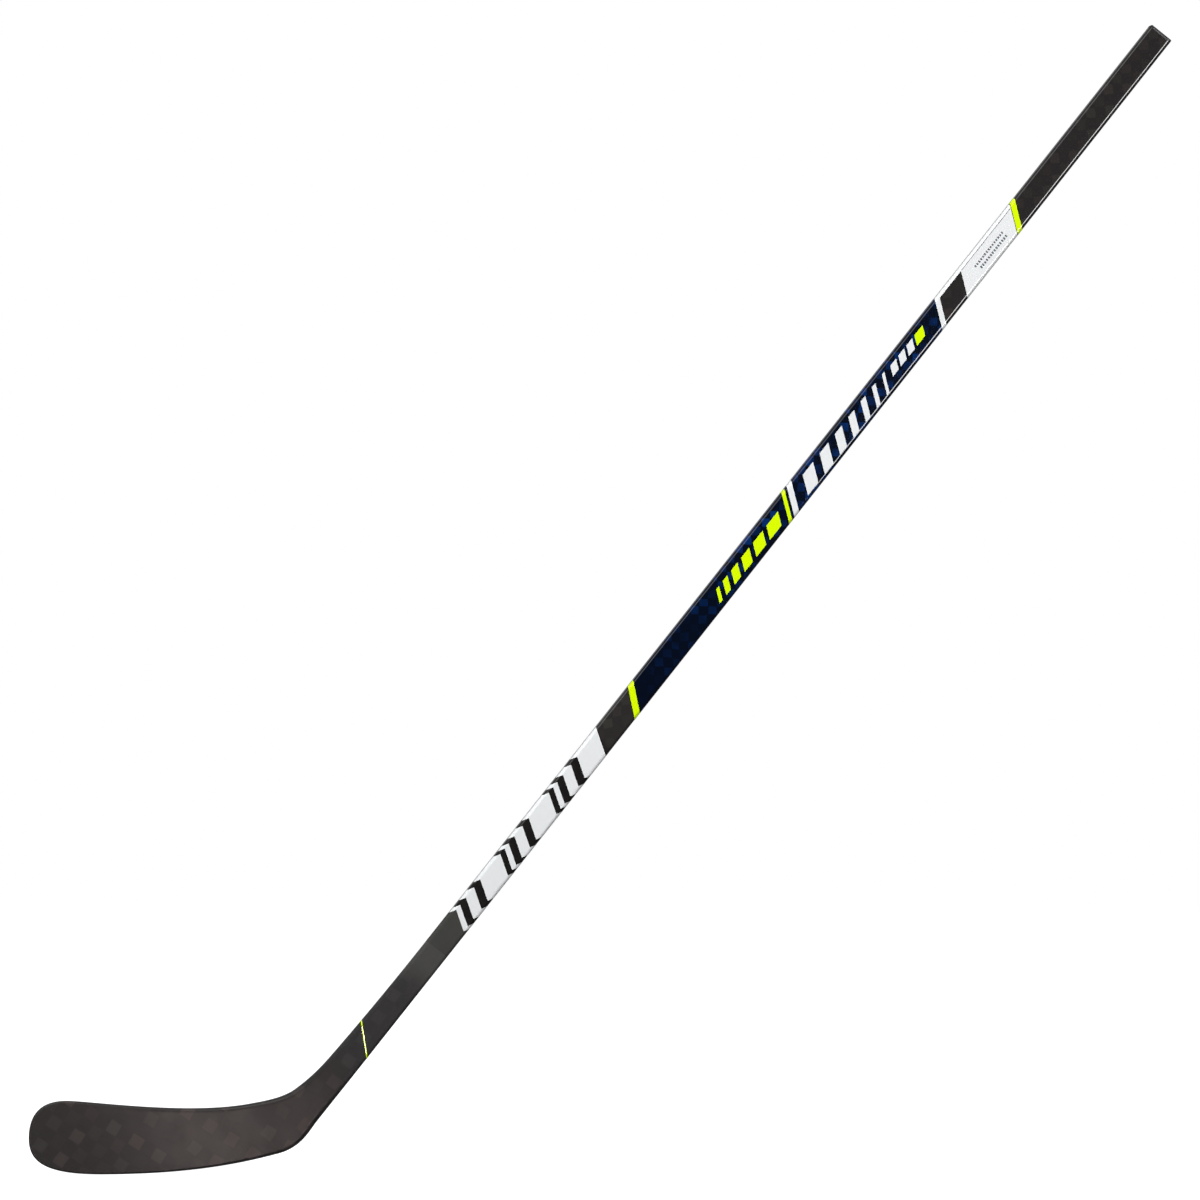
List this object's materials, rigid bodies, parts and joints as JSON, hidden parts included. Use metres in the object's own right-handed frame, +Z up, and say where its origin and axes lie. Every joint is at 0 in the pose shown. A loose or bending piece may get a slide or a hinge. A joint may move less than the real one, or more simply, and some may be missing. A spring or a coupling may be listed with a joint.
{
  "type": "ice hockey stick",
  "caption": "Senior composite ice hockey stick: hollow rectangular carbon shaft with rounded corners, end plug, curved foam-cored blade and printed transfers.",
  "frame": {"origin": "centre of the end plug's outer face, the butt end of the shaft", "axes": "+Z up with the blade on the ice; the stick's flat plane is XZ, the toe towards -X and the butt towards +X; -Y is the side the forehand face of the blade looks to"},
  "size_m": [1.2315, 0.0528, 1.2401],
  "materials": {
    "carbon_gloss": "carbon fibre under clear lacquer",
    "carbon_matte": "satin carbon fibre, spread tow",
    "carbon_raw": "unpainted moulded carbon fibre",
    "plug_plastic": "moulded, fine texture",
    "hot_melt": "waxy hot-melt glue",
    "insert_composite": "moulded chopped fibre",
    "epoxy": "cured epoxy",
    "foam_dense": "closed-cell foam",
    "foam_light": "closed-cell foam",
    "foam_green": "closed-cell foam, softer",
    "neon_film": "printed transfer under clear lacquer",
    "white_film": "printed transfer under clear lacquer",
    "grey_ink": "printed transfer under clear lacquer",
    "blue_film": "tinted transfer under clear lacquer"
  },
  "bodies": {
    "root": {"shaft_tube": "carbon_gloss", "end_plug": "plug_plastic", "plug_glue": "hot_melt", "joint_insert": "insert_composite", "joint_glue": "epoxy", "neck_core": "foam_dense", "blade_core_upper": "foam_light", "blade_core_lower": "foam_green", "blade_rib": "carbon_raw", "blade_skin_front": "carbon_matte", "blade_skin_back": "carbon_matte", "blade_edge_wrap": "carbon_matte", "upper_neon_stripe": "neon_film", "white_panel": "white_film", "panel_ticks": "grey_ink", "blue_wrap": "blue_film", "white_bars": "white_film", "neon_bars": "neon_film", "lower_neon_stripe": "neon_film", "block_bars": "white_film", "heel_line": "neon_film"}
  },
  "joints": []
}
